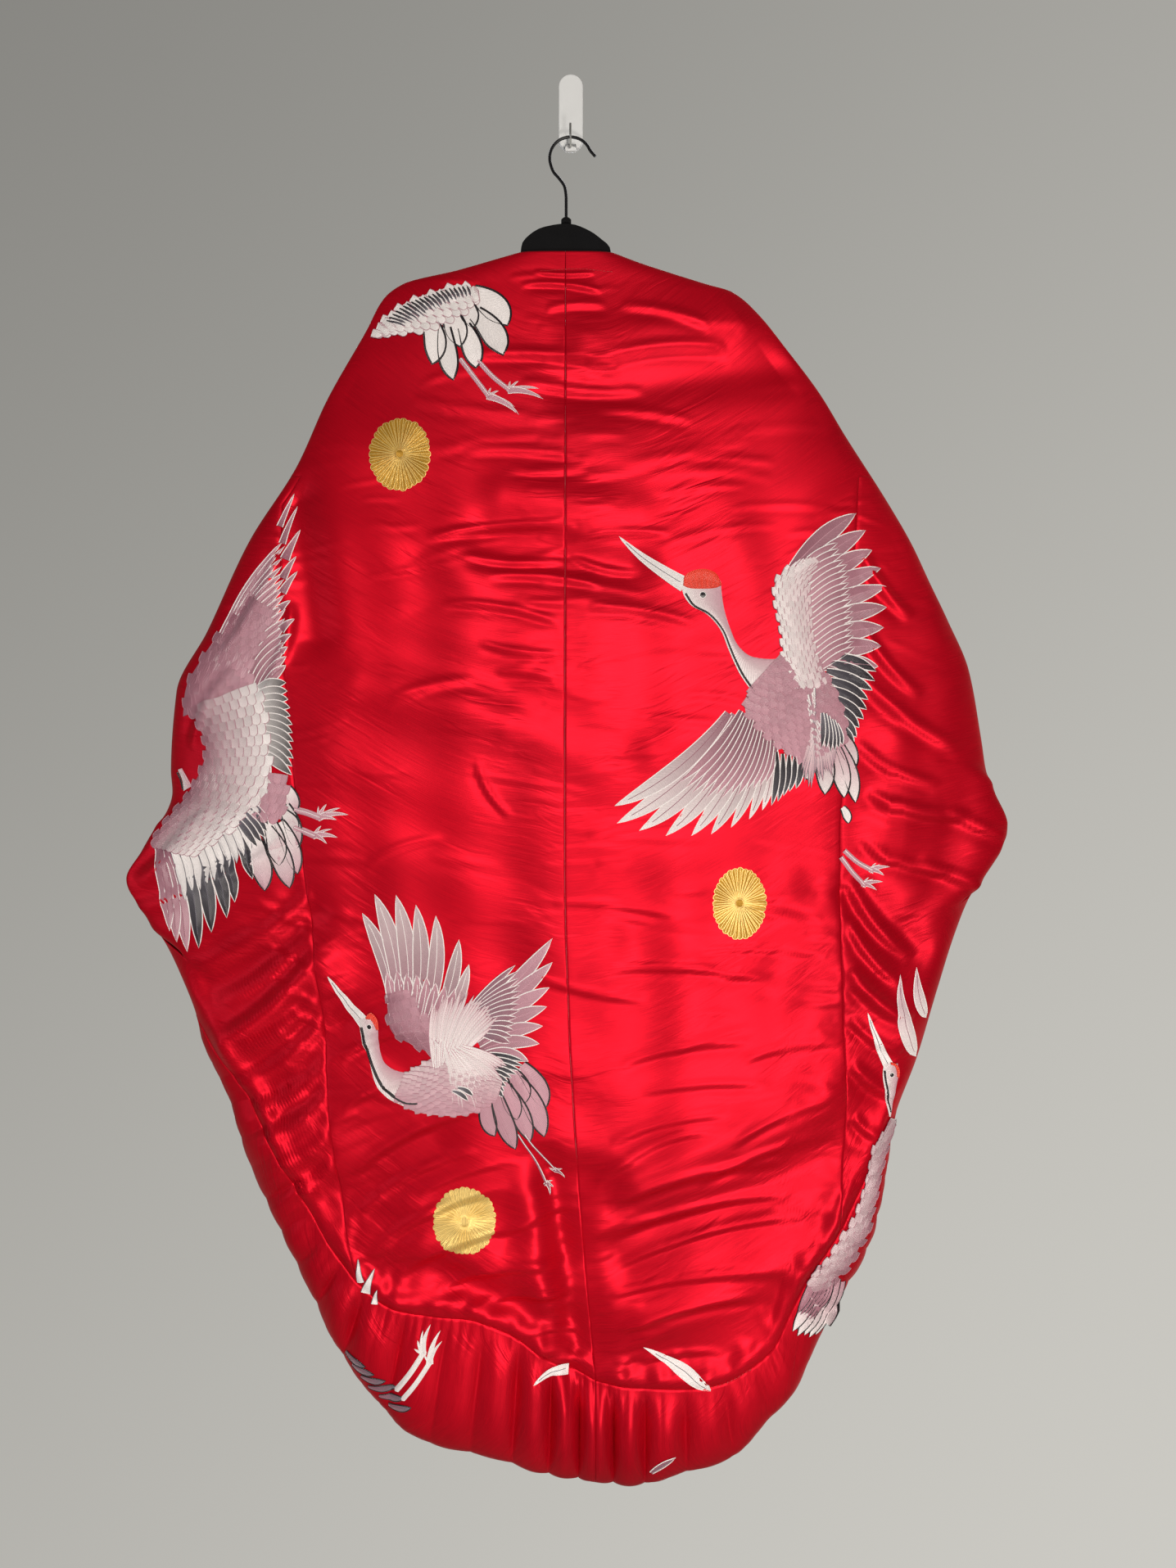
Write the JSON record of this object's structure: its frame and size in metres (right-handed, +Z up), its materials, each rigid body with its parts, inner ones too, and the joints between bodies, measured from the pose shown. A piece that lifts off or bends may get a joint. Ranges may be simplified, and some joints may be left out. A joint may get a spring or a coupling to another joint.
{
  "type": "uchikake cloth cocoon coat on a hanger and wall hook",
  "caption": "Open cocoon coat cut from red satin bridal kimono cloth with crane and chrysanthemum embroidery, hung by the neck on a slim hanger and an adhesive wall hook.",
  "frame": {"origin": "centre of the wall plate's back face, which lies on the wall", "axes": "+Z up, +Y into the wall; the coat's back faces -Y and its open front faces the wall"},
  "size_m": [1.0594, 0.0932, 1.7418],
  "materials": {
    "red_satin": "silk satin with silver, pink and gold embroidery",
    "ivory_lining": "matt plain-weave tape",
    "black_flocking": "velvety flock on moulded plastic",
    "black_enamelled_wire": "black enamel",
    "white_plastic": "moulded, satin gloss",
    "bright_steel": "bright drawn wire"
  },
  "bodies": {
    "root": {"back_left": "red_satin", "back_right": "red_satin", "side_left": "red_satin", "side_right": "red_satin", "hem_band_left": "red_satin", "hem_band_right": "red_satin", "front_band_left": "red_satin", "front_band_right": "red_satin", "collar_band": "red_satin", "neck_tape": "ivory_lining", "hanger_body": "black_flocking", "hanger_boss": "black_flocking", "hanger_hook": "black_enamelled_wire", "wall_plate": "white_plastic", "pin_seat": "white_plastic", "wall_pin": "bright_steel"}
  },
  "joints": []
}
